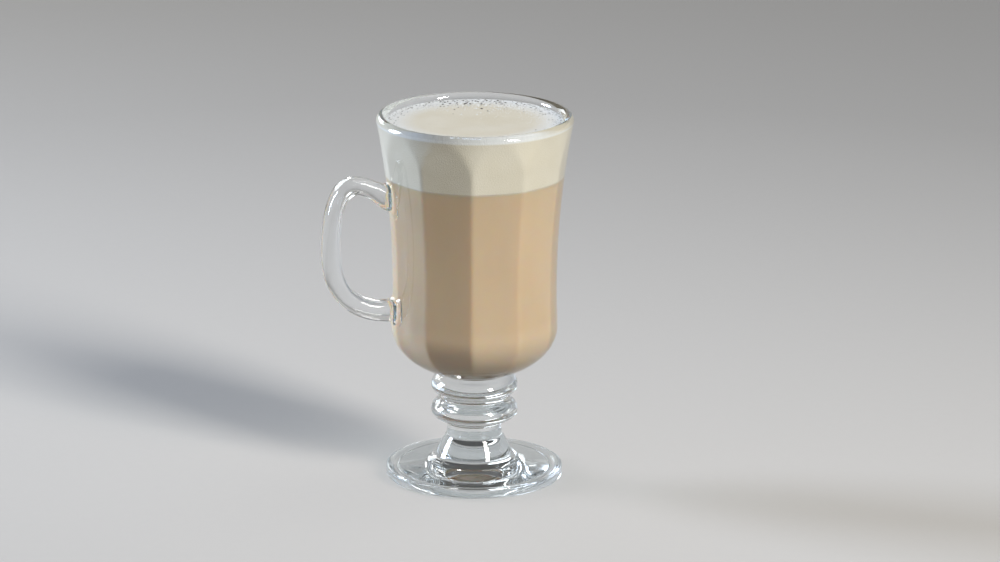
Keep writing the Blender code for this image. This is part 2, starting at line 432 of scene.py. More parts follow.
def start_material(name: str) -> tuple[bpy.types.Material, bpy.types.NodeTree, bpy.types.Node]:
    """New node material with its Principled shader.

    Args:
        name: Name of the finish.

    Returns:
        The material, its tree and the shader node.
    """
    mat = bpy.data.materials.new(name)
    mat.use_nodes = True
    return mat, mat.node_tree, mat.node_tree.nodes["Principled BSDF"]


def pattern(tree: bpy.types.NodeTree, scale: float, detail: float = 3.0,
            stretch: tuple[float, float, float] = (1.0, 1.0, 1.0)) -> bpy.types.NodeSocket:
    """Noise on Object coordinates.

    Args:
        tree: Tree that the nodes go into.
        scale: Waves to a metre.
        detail: Octaves of finer noise.
        stretch: Scale along X, Y and Z.

    Returns:
        The noise's factor socket.
    """
    place = tree.nodes.new("ShaderNodeTexCoord")
    mapping = tree.nodes.new("ShaderNodeMapping")
    mapping.inputs["Scale"].default_value = stretch
    waves = tree.nodes.new("ShaderNodeTexNoise")
    waves.inputs["Scale"].default_value = scale
    waves.inputs["Detail"].default_value = detail
    tree.links.new(place.outputs["Object"], mapping.inputs["Vector"])
    tree.links.new(mapping.outputs["Vector"], waves.inputs["Vector"])
    return waves.outputs["Fac"]


def spread(tree: bpy.types.NodeTree, source: bpy.types.NodeSocket, low: float, high: float,
           to_low: float, to_high: float) -> bpy.types.NodeSocket:
    """Map a value from one range to another.

    Args:
        tree: Tree that the node goes into.
        source: Socket with the value.
        low: Start of the range read.
        high: End of the range read.
        to_low: What low becomes.
        to_high: What high becomes.

    Returns:
        The mapped value's socket.
    """
    remap = tree.nodes.new("ShaderNodeMapRange")
    remap.inputs["From Min"].default_value = low
    remap.inputs["From Max"].default_value = high
    remap.inputs["To Min"].default_value = to_low
    remap.inputs["To Max"].default_value = to_high
    tree.links.new(source, remap.inputs["Value"])
    return remap.outputs["Result"]


def blend_colours(tree: bpy.types.NodeTree, amount: bpy.types.NodeSocket,
                  first: "bpy.types.NodeSocket | tuple[float, float, float]",
                  second: "bpy.types.NodeSocket | tuple[float, float, float]"
                  ) -> bpy.types.NodeSocket:
    """Mix two colours by a socket.

    Args:
        tree: Tree that the node goes into.
        amount: Share of the second colour.
        first: Colour or socket at 0.
        second: Colour or socket at 1.

    Returns:
        The mixed colour's socket.
    """
    mix = tree.nodes.new("ShaderNodeMix")
    mix.data_type = "RGBA"
    tree.links.new(amount, mix.inputs["Factor"])
    for socket, value in ((mix.inputs[6], first), (mix.inputs[7], second)):
        if isinstance(value, tuple):
            socket.default_value = (*value, 1.0)
        else:
            tree.links.new(value, socket)
    return mix.outputs[2]


def raise_surface(tree: bpy.types.NodeTree, height: bpy.types.NodeSocket, strength: float,
                  distance: float, before: "bpy.types.NodeSocket | None" = None
                  ) -> bpy.types.NodeSocket:
    """Bump from a height.

    Args:
        tree: Tree that the node goes into.
        height: Socket with the height.
        strength: Share of the bump.
        distance: Height of the relief in metres.
        before: Normal that the bump adds to, if any.

    Returns:
        The normal's socket.
    """
    bump = tree.nodes.new("ShaderNodeBump")
    bump.inputs["Strength"].default_value = strength
    bump.inputs["Distance"].default_value = distance
    tree.links.new(height, bump.inputs["Height"])
    if before is not None:
        tree.links.new(before, bump.inputs["Normal"])
    return bump.outputs["Normal"]


@dataclass(frozen=True)
class ClearGlass:
    """Clear pressed soda-lime glass with the faint waviness of a mould."""

    tint: tuple[float, float, float] = (0.985, 0.993, 0.992)
    shadow: tuple[float, float, float] = (0.90, 0.92, 0.925)
    depth_tint: tuple[float, float, float] = (0.50, 0.60, 0.65)
    depth_density: float = 6.5
    ior: float = 1.51
    smudge_scale: float = 160.0
    smudge_roughness: float = 0.035
    wave_scale: float = 95.0
    wave_stretch: tuple[float, float, float] = (1.0, 1.0, 0.55)
    wave_strength: float = 0.5
    wave_height: float = 0.00009

    def make(self) -> bpy.types.Material:
        """Build the material: real glass to the eye, a light tint to lamps."""
        mat, tree, shader = start_material("clear_pressed_glass")
        shader.inputs["Base Color"].default_value = (*self.tint, 1.0)
        shader.inputs["IOR"].default_value = self.ior
        shader.inputs["Transmission Weight"].default_value = 1.0
        smudge = pattern(tree, self.smudge_scale, detail=4.0)
        tree.links.new(spread(tree, smudge, 0.45, 0.75, 0.0, self.smudge_roughness),
                       shader.inputs["Roughness"])
        waves = pattern(tree, self.wave_scale, 2.0, self.wave_stretch)
        tree.links.new(raise_surface(tree, waves, self.wave_strength, self.wave_height),
                       shader.inputs["Normal"])
        out = tree.nodes["Material Output"]
        clear = tree.nodes.new("ShaderNodeBsdfTransparent")
        clear.inputs["Color"].default_value = (*self.shadow, 1.0)
        inner = tree.nodes.new("ShaderNodeMixShader")
        outer = tree.nodes.new("ShaderNodeMixShader")
        path = tree.nodes.new("ShaderNodeLightPath")
        tree.links.new(path.outputs["Is Diffuse Ray"], inner.inputs["Fac"])
        tree.links.new(shader.outputs["BSDF"], inner.inputs[1])
        tree.links.new(clear.outputs["BSDF"], inner.inputs[2])
        tree.links.new(path.outputs["Is Shadow Ray"], outer.inputs["Fac"])
        tree.links.new(inner.outputs["Shader"], outer.inputs[1])
        tree.links.new(clear.outputs["BSDF"], outer.inputs[2])
        tree.links.new(outer.outputs["Shader"], out.inputs["Surface"])
        depth = tree.nodes.new("ShaderNodeVolumeAbsorption")
        depth.inputs["Color"].default_value = (*self.depth_tint, 1.0)
        depth.inputs["Density"].default_value = self.depth_density
        tree.links.new(depth.outputs["Volume"], out.inputs["Volume"])
        return mat


@dataclass(frozen=True)
class CoffeeFinish:
    """Milky coffee against glass: warm beige with faint clouds, a paler top, painted light low
    down.
    """

    body: tuple[float, float, float] = (0.545, 0.417, 0.277)
    cloud: tuple[float, float, float] = (0.508, 0.379, 0.246)
    pale: tuple[float, float, float] = (0.600, 0.500, 0.375)
    # Paler colour towards the bottom: painted light that the thick glass base brings in
    painted_bottom_light: tuple[float, float, float] = (0.635, 0.510, 0.365)
    top_z: float = 0.1212
    top_fade: float = 0.0009
    painted_bottom_light_z: float = 0.066
    painted_bottom_light_fade: float = 0.012
    painted_bottom_light_share: float = 0.8
    cloud_scale: float = 45.0
    cloud_stretch: tuple[float, float, float] = (1.0, 1.0, 0.35)
    gloss: float = 0.06
    glow_share: float = 0.6
    glow_colour: tuple[float, float, float] = (1.0, 0.42, 0.15)
    glow_depth: float = 0.009

    def make(self) -> bpy.types.Material:
        """Build the material."""
        mat, tree, shader = start_material("milky_coffee_cloudy")
        clouds = pattern(tree, self.cloud_scale, 4.0, self.cloud_stretch)
        colour = blend_colours(tree, spread(tree, clouds, 0.35, 0.7, 0.0, 1.0),
                               self.body, self.cloud)
        place = tree.nodes.new("ShaderNodeTexCoord")
        parts = tree.nodes.new("ShaderNodeSeparateXYZ")
        tree.links.new(place.outputs["Object"], parts.inputs["Vector"])
        # Paler towards the bottom: painted light that the thick glass base brings in
        low = spread(tree, parts.outputs["Z"], self.painted_bottom_light_z - self.painted_bottom_light_fade, self.painted_bottom_light_z,
                     self.painted_bottom_light_share, 0.0)
        colour = blend_colours(tree, low, colour, self.painted_bottom_light)
        near_top = spread(tree, parts.outputs["Z"], self.top_z - self.top_fade, self.top_z,
                          0.0, 1.0)
        colour = blend_colours(tree, near_top, colour, self.pale)
        tree.links.new(colour, shader.inputs["Base Color"])
        shader.inputs["Specular IOR Level"].default_value = self.gloss
        shader.inputs["Subsurface Weight"].default_value = self.glow_share
        shader.inputs["Subsurface Radius"].default_value = self.glow_colour
        shader.inputs["Subsurface Scale"].default_value = self.glow_depth
        tree.links.new(spread(tree, clouds, 0.3, 0.7, 0.32, 0.42), shader.inputs["Roughness"])
        fine = pattern(tree, 900.0, 2.0)
        tree.links.new(raise_surface(tree, fine, 0.12, 0.00005), shader.inputs["Normal"])
        return mat


@dataclass(frozen=True)
class FoamFinish:
    """Fine milk foam: cream with tiny bubbles of painted shade, whiter where the froth is coarser.
    """

    body: tuple[float, float, float] = (0.635, 0.594, 0.493)
    cloud: tuple[float, float, float] = (0.600, 0.552, 0.440)
    froth: tuple[float, float, float] = (0.705, 0.718, 0.715)
    # Darker colour in the middle of each bubble cell: painted shade of the bubbles' hollows
    pit_shade: tuple[float, float, float] = (0.44, 0.38, 0.28)
    pit_shade_share: float = 0.16
    bubble_scale: float = 1500.0
    cloud_scale: float = 60.0
    froth_r: float = 0.0225
    froth_edge_r: float = 0.0325
    froth_low_z: float = 0.1412
    froth_high_z: float = 0.1418
    gloss: float = 0.08

    def make(self) -> bpy.types.Material:
        """Build the material."""
        mat, tree, shader = start_material("milk_foam_fine")
        clouds = pattern(tree, self.cloud_scale, detail=4.0)
        colour = blend_colours(tree, spread(tree, clouds, 0.35, 0.7, 0.0, 1.0),
                               self.body, self.cloud)
        place = tree.nodes.new("ShaderNodeTexCoord")
        parts = tree.nodes.new("ShaderNodeSeparateXYZ")
        tree.links.new(place.outputs["Object"], parts.inputs["Vector"])
        flat = tree.nodes.new("ShaderNodeCombineXYZ")
        tree.links.new(parts.outputs["X"], flat.inputs["X"])
        tree.links.new(parts.outputs["Y"], flat.inputs["Y"])
        reach = tree.nodes.new("ShaderNodeVectorMath")
        reach.operation = "LENGTH"
        tree.links.new(flat.outputs["Vector"], reach.inputs[0])
        edge = spread(tree, reach.outputs["Value"], self.froth_r, self.froth_edge_r, 0.0, 1.0)
        above = spread(tree, parts.outputs["Z"], self.froth_low_z, self.froth_high_z, 0.0, 1.0)
        both = tree.nodes.new("ShaderNodeMath")
        both.operation = "MULTIPLY"
        tree.links.new(edge, both.inputs[0])
        tree.links.new(above, both.inputs[1])
        colour = blend_colours(tree, both.outputs["Value"], colour, self.froth)
        cells = tree.nodes.new("ShaderNodeTexVoronoi")
        cells.inputs["Scale"].default_value = self.bubble_scale
        tree.links.new(place.outputs["Object"], cells.inputs["Vector"])
        pits = spread(tree, cells.outputs["Distance"], 0.0, 0.55, 1.0, 0.0)
        # Painted shade: darker colour towards the middle of each bubble cell
        shade_amount = spread(tree, pits, 0.55, 1.0, 0.0, self.pit_shade_share)
        colour = blend_colours(tree, shade_amount, colour, self.pit_shade)
        tree.links.new(colour, shader.inputs["Base Color"])
        tree.links.new(spread(tree, clouds, 0.3, 0.7, 0.42, 0.62), shader.inputs["Roughness"])
        shader.inputs["Specular IOR Level"].default_value = self.gloss
        soft = raise_surface(tree, pattern(tree, 420.0, 3.0), 0.30, 0.00012)
        tree.links.new(raise_surface(tree, pits, 0.45, 0.00010, soft), shader.inputs["Normal"])
        return mat


@dataclass(frozen=True)
class BubbleFilm:
    """Wet film of single bubbles on the foam; the dark one is painted shade of open bubbles'
    hollows.
    """

    name: str
    colour: tuple[float, float, float]
    roughness: float
    mottle_scale: float = 700.0
    mottle_share: float = 0.72
    ior: float = 1.33

    def make(self) -> bpy.types.Material:
        """Build the material."""
        mat, tree, shader = start_material(self.name)
        mottled = pattern(tree, self.mottle_scale, detail=2.0)
        deeper = tuple(self.mottle_share * c for c in self.colour)
        tree.links.new(blend_colours(tree, mottled, self.colour, deeper),
                       shader.inputs["Base Color"])
        shader.inputs["Roughness"].default_value = self.roughness
        shader.inputs["IOR"].default_value = self.ior
        return mat


@dataclass(frozen=True)
class FloorFinish:
    """Plain pale studio floor, darker to bounced light and faintly glowing far off."""

    colour: tuple[float, float, float] = (0.55, 0.535, 0.51)
    bounce: tuple[float, float, float] = (0.235, 0.205, 0.172)
    grain_scale: float = 240.0
    grain_share: float = 0.975
    roughness: float = 0.6
    gloss: float = 0.08
    glow_r: float = 0.6
    glow_full_r: float = 2.2
    glow: float = 0.36

    def make(self) -> bpy.types.Material:
        """Build the material."""
        mat, tree, shader = start_material("pale_floor")
        grain = pattern(tree, self.grain_scale, detail=3.0)
        deeper = tuple(self.grain_share * c for c in self.colour)
        seen = blend_colours(tree, grain, self.colour, deeper)
        path = tree.nodes.new("ShaderNodeLightPath")
        tree.links.new(blend_colours(tree, path.outputs["Is Diffuse Ray"], seen, self.bounce),
                       shader.inputs["Base Color"])
        shader.inputs["Roughness"].default_value = self.roughness
        shader.inputs["Specular IOR Level"].default_value = self.gloss
        place = tree.nodes.new("ShaderNodeTexCoord")
        reach = tree.nodes.new("ShaderNodeVectorMath")
        reach.operation = "LENGTH"
        tree.links.new(place.outputs["Object"], reach.inputs[0])
        far = spread(tree, reach.outputs["Value"], self.glow_r, self.glow_full_r, 0.0, self.glow)
        lit = tree.nodes.new("ShaderNodeMath")
        lit.operation = "MULTIPLY"
        tree.links.new(far, lit.inputs[0])
        tree.links.new(spread(tree, path.outputs["Is Diffuse Ray"], 0.0, 1.0, 1.0, 0.0),
                       lit.inputs[1])
        shader.inputs["Emission Color"].default_value = (1.0, 1.0, 1.0, 1.0)
        tree.links.new(lit.outputs["Value"], shader.inputs["Emission Strength"])
        return mat


# The mug


@dataclass
class GlassMug:
    """Pressed glass mug: bowl with ten inner panels, ringed stem, foot and handle."""

    bowl: BowlForm = field(default_factory=BowlForm)
    stem: StemForm = field(default_factory=StemForm)
    around: int = 240
    floor_steps: int = 26
    inside_steps: int = 60
    outside_steps: int = 50
    bottom_steps: int = 28
    press_band: float = 0.2
    smooth_angle: float = 32.0
    handle_line: tuple[tuple[float, float], ...] = (
        (31.9, 112.3), (36.2, 114.5), (41.4, 117.8), (47.6, 119.7), (53.0, 117.2),
        (56.3, 109.2), (57.6, 96.0), (56.6, 85.3), (52.9, 77.4), (46.9, 72.3),
        (39.4, 69.6), (30.3, 69.1))
    handle_width: float = 9.0
    thick_high: float = 6.3
    thick_low: float = 7.4
    thin_z: float = 113.0
    full_z: float = 82.0
    curve_steps: int = 24
    stations: int = 440
    root_stations: int = 36
    middle_skip: int = 4
    corner_cut: float = 0.30
    corner_steps: int = 9
    upper_gain: float = 3.4
    lower_gain: float = 0.6
    width_gain: float = 0.4
    root_reach: float = 4.6
    root_low_z: float = 60.0
    fillet: float = 2.5
    bead_r: float = 2.1
    bead_reach: float = 31.8
    bead_z: float = 65.0

    def outline(self) -> list[tuple[float, float]]:
        """Round outline from the middle of the bowl's inside over the rim to the underside."""
        bowl = self.bowl
        points = []
        for i in range(1, self.floor_steps + 1):
            a = 0.5 * math.pi * i / self.floor_steps
            height = bowl.inner_equator_z - bowl.inner_bottom_z
            z = bowl.inner_equator_z - height * math.cos(a)
            points.append((bowl.corner_radius(z), z))
        top = bowl.rim_z - bowl.rim_round
        for i in range(1, self.inside_steps):
            z = bowl.inner_equator_z + (top - bowl.inner_equator_z) * i / self.inside_steps
            points.append((bowl.corner_radius(z), z))
        centre = (bowl.side_radius(top) - bowl.rim_round, top)
        points += arc(centre, (bowl.rim_round, bowl.rim_round), 180.0, 0.0, count=18)
        for i in range(1, self.outside_steps):
            z = top + (bowl.equator_z - top) * i / self.outside_steps
            points.append((bowl.side_radius(z), z))
        last = math.asin((bowl.equator_z - self.stem.bowl_foot_z) / bowl.bottom_h)
        for i in range(self.bottom_steps + 1):
            z = bowl.equator_z - bowl.bottom_h * math.sin(last * i / self.bottom_steps)
            points.append((bowl.outer_radius(z), z))
        return points + self.stem.outline()

    def build_body(self) -> bpy.types.Object:
        """Foot, stem and bowl in one turned body."""
        piece = turned_body("mug_glass", self.outline(), self.around)
        self.press_inner(piece)
        return piece

    def press_inner(self, piece: bpy.types.Object) -> None:
        """Press the panels into the faces that look at the axis above the bowl's floor.

        Args:
            piece: The turned body.
        """
        bowl = self.bowl
        top = bowl.rim_z - bowl.rim_round
        for vertex in piece.data.vertices:
            z = vertex.co.z / MM
            flat = vertex.co.xy.length / MM
            if flat < ON_AXIS or z > top or z < bowl.inner_bottom_z:
                continue
            corner = bowl.corner_radius(z)
            if abs(flat - corner) > self.press_band:
                continue
            turn = math.atan2(vertex.co.y, vertex.co.x)
            vertex.co.xy *= bowl.pressed_radius(z, turn) / corner

    def build_handle(self) -> bpy.types.Object:
        """Ear-shaped strap drawn along its line, its ends inside the bowl's wall."""
        fine = even_steps(smooth_line(list(self.handle_line), self.curve_steps), self.stations)
        near = self.root_stations
        line = fine[:near] + fine[near:-near:self.middle_skip] + fine[-near:]
        deselect_all()
        bpy.ops.mesh.primitive_plane_add(size=1.0, location=(0.0, 0.0, 0.0))
        piece = bpy.context.object
        piece.name = "handle_strap"
        edit(piece)
        bpy.ops.mesh.bevel(affect="VERTICES", offset=self.corner_cut, segments=self.corner_steps,
                           profile=0.5)
        bpy.ops.mesh.select_all(action="SELECT")
        size = self.section(line, 0)
        bpy.ops.transform.resize(value=(size[0] * MM, size[1] * MM, 1.0),
                                 center_override=(0.0, 0.0, 0.0))
        turn = self.heading(line, 0)
        self.turn_about(turn, (0.0, 0.0, 0.0))
        spot = (-line[0][0] * MM, 0.0, line[0][1] * MM)
        bpy.ops.transform.translate(value=spot)
        for i in range(1, len(line)):
            here = (-line[i][0] * MM, 0.0, line[i][1] * MM)
            step = tuple(b - a for a, b in zip(spot, here))
            bpy.ops.mesh.extrude_region_move(TRANSFORM_OT_translate={"value": step})
            fresh = self.section(line, i)
            self.turn_about(-turn, here)
            bpy.ops.transform.resize(value=(fresh[0] / size[0], fresh[1] / size[1], 1.0),
                                     center_override=here)
            turn = self.heading(line, i)
            self.turn_about(turn, here)
            size, spot = fresh, here
        bpy.ops.object.mode_set(mode="OBJECT")
        self.round_roots(piece, line)
        settle(piece)
        return piece

    @staticmethod
    def turn_about(angle: float, centre: tuple[float, float, float]) -> None:
        """Turn what is selected about the Y axis.

        Args:
            angle: Angle in radians, from +Z towards +X.
            centre: Point that stays.
        """
        bpy.ops.transform.rotate(value=-angle, orient_axis="Y", center_override=centre)

    def heading(self, line: list[tuple[float, float]], i: int) -> float:
        """Angle of the strap's direction at one station.

        Args:
            line: Points of the strap's middle line.
            i: Station.

        Returns:
            Angle about Y that turns +Z into the direction of travel.
        """
        before, after = line[max(i - 1, 0)], line[min(i + 1, len(line) - 1)]
        along = Vector((before[0] - after[0], after[1] - before[1]))
        depth = max(line[i][0] - self.bowl.outer_radius(line[i][1]), 0.0)
        root = math.exp(-(depth / self.root_reach) ** 2)
        along.y *= 1.0 - root ** 2
        return math.atan2(along.x, along.y)

    def section(self, line: list[tuple[float, float]], i: int) -> tuple[float, float]:
        """Thickness and width of the strap at one station.

        Args:
            line: Points of the strap's middle line.
            i: Station.

        Returns:
            Thickness and width in millimetres.
        """
        reach, height = line[i]
        depth = max(reach - self.bowl.outer_radius(height), 0.0)
        root = math.exp(-(depth / self.root_reach) ** 2)
        slim = ease(height, self.full_z, self.thin_z)
        thick = self.thick_low + (self.thick_high - self.thick_low) * slim
        gain = self.lower_gain + (self.upper_gain - self.lower_gain) * slim
        return thick + gain * root, self.handle_width + self.width_gain * root

    def round_roots(self, piece: bpy.types.Object, line: list[tuple[float, float]]) -> None:
        """Spread the strap's skin in a small fillet where it meets the bowl.

        Args:
            piece: The drawn strap.
            line: Points of the strap's middle line.
        """
        middles = [Vector((-r, 0.0, z)) for r, z in line]
        for vertex in piece.data.vertices:
            spot = vertex.co / MM
            middle = min(middles, key=lambda m: (m - spot).length_squared)
            wall = self.bowl.outer_radius(spot.z)
            depth = math.hypot(spot.x, spot.y) - wall
            if depth < self.fillet and spot.z > self.root_low_z:
                t = max(depth, 0.0)
                reach = self.fillet - math.sqrt(self.fillet ** 2 - (self.fillet - t) ** 2)
                side = spot - middle
                side.x = 0.0
                if side.length > NO_LENGTH:
                    spot += side.normalized() * reach
            vertex.co = spot * MM

    def build_bead(self) -> bpy.types.Object:
        """Small bead of glass under the lower root."""
        deselect_all()
        bpy.ops.mesh.primitive_uv_sphere_add(
            segments=40, ring_count=24, radius=self.bead_r * MM,
            location=(-self.bead_reach * MM, 0.0, self.bead_z * MM))
        bead = bpy.context.object
        settle(bead)
        return bead

    def build(self) -> bpy.types.Object:
        """Build the whole glass as one closed body."""
        body = self.build_body()
        unite(body, self.build_handle())
        unite(body, self.build_bead())
        shade(body, self.smooth_angle)
        return body

    def dress(self, piece: bpy.types.Object) -> None:
        """Give the glass its finish and place it on the frame.

        Args:
            piece: The finished glass.
        """
        piece.data.materials.clear()
        piece.data.materials.append(ClearGlass().make())
        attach(piece, "root")
        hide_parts("glass")


# The drink


@dataclass
class MilkyCoffee:
    """Coffee with milk, from the bowl's floor to the foam, reaching just into the glass."""

    bowl: BowlForm = field(default_factory=BowlForm)
    around: int = 240
    top_z: float = 121.2
    reach: float = 0.06
    floor_steps: int = 24
    side_steps: int = 36
    top_rings: tuple[float, float] = (0.7, 0.3)
    smooth_angle: float = 30.0

    def build(self) -> bpy.types.Object:
        """Build the coffee as one closed body."""
        bowl = self.bowl
        outline = []
        for i in range(1, self.floor_steps + 1):
            a = 0.5 * math.pi * i / self.floor_steps
            height = bowl.inner_equator_z - bowl.inner_bottom_z
            z = bowl.inner_equator_z - height * math.cos(a)
            outline.append((bowl.corner_radius(z), z))
        for i in range(1, self.side_steps + 1):
            z = bowl.inner_equator_z + (self.top_z - bowl.inner_equator_z) * i / self.side_steps
            outline.append((bowl.corner_radius(z), z))
        edge = outline[-1][0]
        outline += [(share * edge, self.top_z) for share in self.top_rings]
        piece = turned_body("latte_fill", outline, self.around)
        fit_inside(piece, bowl, self.reach, self.top_z)
        shade(piece, self.smooth_angle)
        return piece

    def dress(self, piece: bpy.types.Object) -> None:
        """Give the coffee its finish and place it on the frame.

        Args:
            piece: The finished coffee.
        """
        piece.data.materials.clear()
        piece.data.materials.append(CoffeeFinish().make())
        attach(piece, "root")
        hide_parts("latte")


def fit_inside(piece: bpy.types.Object, bowl: BowlForm, reach: float, top: float) -> None:
    """Press the panels into a round filling and let it reach just into the glass.

    Args:
        piece: The turned filling.
        bowl: The bowl that it fills.
        reach: How far it goes into the wall, in millimetres.
        top: Height above which its points are scaled with its edge, in millimetres.
    """
    deep = bowl.inner_equator_z - bowl.inner_bottom_z
    for vertex in piece.data.vertices:
        z = min(vertex.co.z / MM, top)
        flat = vertex.co.xy.length / MM
        if flat < ON_AXIS:
            vertex.co.z -= reach * MM if z < bowl.inner_bottom_z + 1.0 else 0.0
            continue
        corner = bowl.corner_radius(z)
        turn = math.atan2(vertex.co.y, vertex.co.x)
        wide = bowl.pressed_radius(z, turn) / corner
        down = ease(bowl.inner_equator_z - z, 0.0, deep)
        vertex.co.xy *= wide * (1.0 + reach / max(corner, LEAST_RING))
        vertex.co.z -= reach * down * MM


@dataclass(frozen=True)
class Ripple:
    """One size of unevenness on the foam."""

    rate: float
    layer: float
    height: float

    def at(self, x: float, y: float) -> float:
        """Height of the unevenness at a place, in millimetres."""
        return self.height * noise.noise(Vector((x * self.rate, y * self.rate, self.layer)))


@dataclass(frozen=True)
class Froth:
    """One kind of bubble: how many, how large, how far in, how they sit and their film."""

    name: str
    count: int
    sizes: tuple[float, float]
    depth: float
    sink: float
    flatten: float
    film: BubbleFilm


# Dark glossy domes: painted shade standing for the dark hollows of open bubbles
OPEN_FROTH_SHADE = Froth("foam_open_bubble_shade", 480, (0.13, 0.62), depth=3.2, sink=0.05, flatten=0.55,
                   film=BubbleFilm("bubble_painted_shade", (0.085, 0.08, 0.07), roughness=0.12))
FINE_FROTH = Froth("foam_fine_bubbles", 2600, (0.11, 0.34), depth=4.2, sink=0.0, flatten=0.75,
                   film=BubbleFilm("bubble_pale", (0.74, 0.76, 0.77), roughness=0.45))


@dataclass
class MilkFoam:
    """Head of fine milk foam with a froth of bubbles along its edge."""

    bowl: BowlForm = field(default_factory=BowlForm)
    around: int = 240
    bottom_z: float = 121.2
    top_z: float = 142.1
    dish: float = 0.25
    reach: float = 0.06
    seed: int = 41
    lip: tuple[float, float, float] = (0.28, 0.94, 0.06)
    lowered: float = 0.02
    slow: Ripple = Ripple(rate=0.11, layer=3.1, height=0.16)
    quick: Ripple = Ripple(rate=0.55, layer=8.7, height=0.09)
    fine: Ripple = Ripple(rate=1.6, layer=1.3, height=0.05)
    calm_share: float = 0.35
    rough_share: float = 0.65
    rough_from: float = 0.72
    rough_to: float = 0.95
    bottom_rings: tuple[float, float] = (0.3, 0.8)
    side_steps: int = 30
    edge_steps: int = 27
    edge_step: float = 0.0125
    middle_from: float = 0.62
    middle_step: float = 0.035
    middle_steps: int = 17
    top_band: float = 0.01
    smooth_angle: float = 50.0
    tries: int = 30
    dense_turn: float = 48.0
    sparse_share: float = 0.18
    dense_share: float = 0.82
    dense_power: float = 1.6
    back_turn: float = 76.0
    back_power: int = 8
    size_power: float = 2.5
    least_gain: float = 0.4
    more_gain: float = 0.6
    farthest: float = 0.9
    crowding: float = 0.92
    dome_cut: float = 0.25
    dome_angle: float = 60.0

    def surface_z(self, x: float, y: float) -> float:
        """Height of the foam's top at a place, in millimetres.

        Args:
            x: Place along X in millimetres.
            y: Place along Y in millimetres.

        Returns:
            The height in millimetres.
        """
        flat = math.hypot(x, y)
        edge = self.bowl.corner_radius(self.top_z)
        share = min(flat / edge, 1.0)
        lip_h, lip_from, lip_w = self.lip
        lift = self.dish * (share ** 2 - 1.0) + lip_h * max(share - lip_from, 0.0) / lip_w
        rough = self.calm_share + self.rough_share * ease(share, self.rough_from, self.rough_to)
        return (self.top_z - self.lowered + lift + self.slow.at(x, y)
                + rough * (self.quick.at(x, y) + self.fine.at(x, y)))

    def build(self) -> bpy.types.Object:
        """Build the foam as one closed body."""
        bowl = self.bowl
        outline = [(share * bowl.corner_radius(self.bottom_z), self.bottom_z)
                   for share in self.bottom_rings]
        for i in range(self.side_steps + 1):
            z = self.bottom_z + (self.top_z - self.bottom_z) * i / self.side_steps
            outline.append((bowl.corner_radius(z), z))
        edge = bowl.corner_radius(self.top_z)
        shares = [1.0 - self.edge_step * i for i in range(1, self.edge_steps + 1)]
        shares += [self.middle_from - self.middle_step * i for i in range(self.middle_steps)]
        for share in shares:
            outline.append((edge * share, self.top_z))
        piece = turned_body("foam_head", outline, self.around)
        fit_inside(piece, bowl, self.reach, self.top_z)
        for vertex in piece.data.vertices:
            if vertex.co.z > (self.top_z - self.top_band) * MM:
                vertex.co.z = self.surface_z(vertex.co.x / MM, vertex.co.y / MM) * MM
        shade(piece, self.smooth_angle)
        return piece

    def scatter(self, froth: Froth, seed: int,
                taken: list[tuple[float, float, float]]) -> list[tuple[float, float, float]]:
        """Places of bubbles along the edge, denser at the back and on the side off the handle.

        Args:
            froth: The kind of bubble.
            seed: Start of the random draw.
            taken: Bubbles already placed, to which the new ones are added.

        Returns:
            The new bubbles as (x, y, radius) in millimetres.
        """
        draw = random.Random(seed)
        edge = self.bowl.corner_radius(self.top_z)
        least, most = froth.sizes
        fresh = []
        for _ in range(froth.count * self.tries):
            if len(fresh) == froth.count:
                break
            turn = draw.uniform(0.0, 2.0 * math.pi)
            side = math.cos(turn - math.radians(self.dense_turn))
            near = max(0.5 + 0.5 * side, 0.0) ** self.dense_power
            if draw.random() > self.sparse_share + self.dense_share * near:
                continue
            back = max(math.cos(turn - math.radians(self.back_turn)), 0.0) ** self.back_power
            size = least + ((most - least) * draw.random() ** self.size_power
                            * (self.least_gain + self.more_gain * back))
            inward = self.least_gain + self.more_gain * max(side, 0.0)
            inset = draw.expovariate(1.0 / froth.depth) * inward + size
            if inset > self.farthest * edge:
                continue
            x, y = (edge - inset) * math.cos(turn), (edge - inset) * math.sin(turn)
            if all((x - a) ** 2 + (y - b) ** 2 > (self.crowding * (size + c)) ** 2
                   for a, b, c in taken):
                taken.append((x, y, size))
                fresh.append((x, y, size))
        return fresh

    def build_bubbles(self, froth: Froth,
                      places: list[tuple[float, float, float]]) -> bpy.types.Object:
        """One small dome modelled once and copied to every place, joined as one mesh.

        Args:
            froth: The kind of bubble. Its sink and flatten are shares of a dome's radius.
            places: Bubbles as (x, y, radius) in millimetres.

        Returns:
            The joined bubbles.
        """
        deselect_all()
        bpy.ops.mesh.primitive_uv_sphere_add(segments=8, ring_count=6, radius=MM)
        dome = bpy.context.object
        edit(dome)
        bpy.ops.mesh.bisect(plane_co=(0.0, 0.0, -self.dome_cut * MM), plane_no=(0.0, 0.0, 1.0),
                            clear_inner=True, use_fill=True)
        bpy.ops.object.mode_set(mode="OBJECT")
        corners = [v.co.copy() for v in dome.data.vertices]
        faces = [tuple(p.vertices) for p in dome.data.polygons]
        bpy.data.objects.remove(dome, do_unlink=True)
        points, skin = [], []
        for x, y, size in places:
            base = len(points)
            height = self.surface_z(x, y) - froth.sink * size
            for c in corners:
                points.append(((x * MM + c.x * size), (y * MM + c.y * size),
                               height * MM + c.z * size * froth.flatten))
            skin += [tuple(base + i for i in f) for f in faces]
        mesh = bpy.data.meshes.new(froth.name)
        mesh.from_pydata(points, [], skin)
        mesh.update()
        piece = bpy.data.objects.new(froth.name, mesh)
        bpy.context.scene.collection.objects.link(piece)
        shade(piece, self.dome_angle)
        return piece

